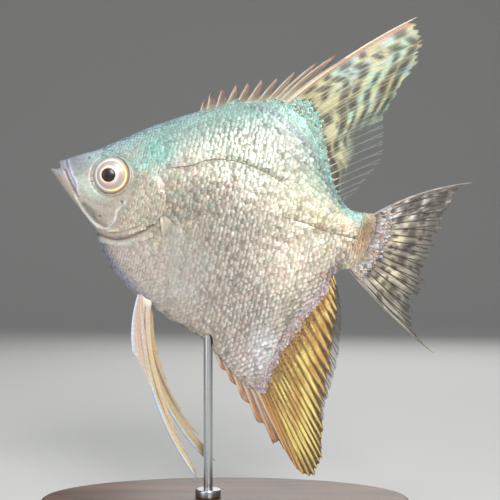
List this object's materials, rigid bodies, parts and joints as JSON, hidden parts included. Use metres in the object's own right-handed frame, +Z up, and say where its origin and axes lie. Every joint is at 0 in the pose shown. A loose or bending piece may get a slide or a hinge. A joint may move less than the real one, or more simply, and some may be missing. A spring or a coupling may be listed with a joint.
{
  "type": "freshwater angelfish model on a display stand",
  "caption": "Life-size freshwater angelfish, tall thin body, long fins, swimming nose up, held by a rod over an oval base.",
  "frame": {"origin": "centre of the stand base's underside, on the surface it stands on", "axes": "+Z up, -X the way the fish faces, -Y the fish's left flank"},
  "size_m": [0.1088, 0.054, 0.1285],
  "materials": {
    "scaled_skin": "wet pearly silver scales, teal along the back",
    "lips": "smooth wet grey skin",
    "gill_cover": "smooth pearly plate",
    "eye": "clear wet cornea over a silver and gold iris",
    "clear_fin": "clear web with pale rays",
    "cream_fin": "cream rays, satin",
    "spotted_fin": "olive web with dark spots and cream rays",
    "golden_fin": "golden rays with brown edges",
    "smoky_fin": "smoky web with dark spots and cream patches",
    "stand_wood": "oiled walnut, satin",
    "stand_steel": "brushed"
  },
  "bodies": {
    "root": {"head": "scaled_skin", "upper_jaw": "lips", "lower_jaw": "lips", "trunk": "scaled_skin", "tail_stem": "scaled_skin", "gill_cover_left": "gill_cover", "gill_cover_right": "gill_cover", "eye_left": "eye", "eye_right": "eye", "pectoral_fin_left": "clear_fin", "pectoral_fin_right": "clear_fin", "pelvic_fin_left": "cream_fin", "pelvic_fin_right": "cream_fin", "dorsal_fin_spines": "spotted_fin", "dorsal_fin_rays": "spotted_fin", "anal_fin_spines": "golden_fin", "anal_fin_rays": "golden_fin", "tail_fin": "smoky_fin", "stand_base": "stand_wood", "stand_rod": "stand_steel", "stand_collar": "stand_steel"}
  },
  "joints": []
}
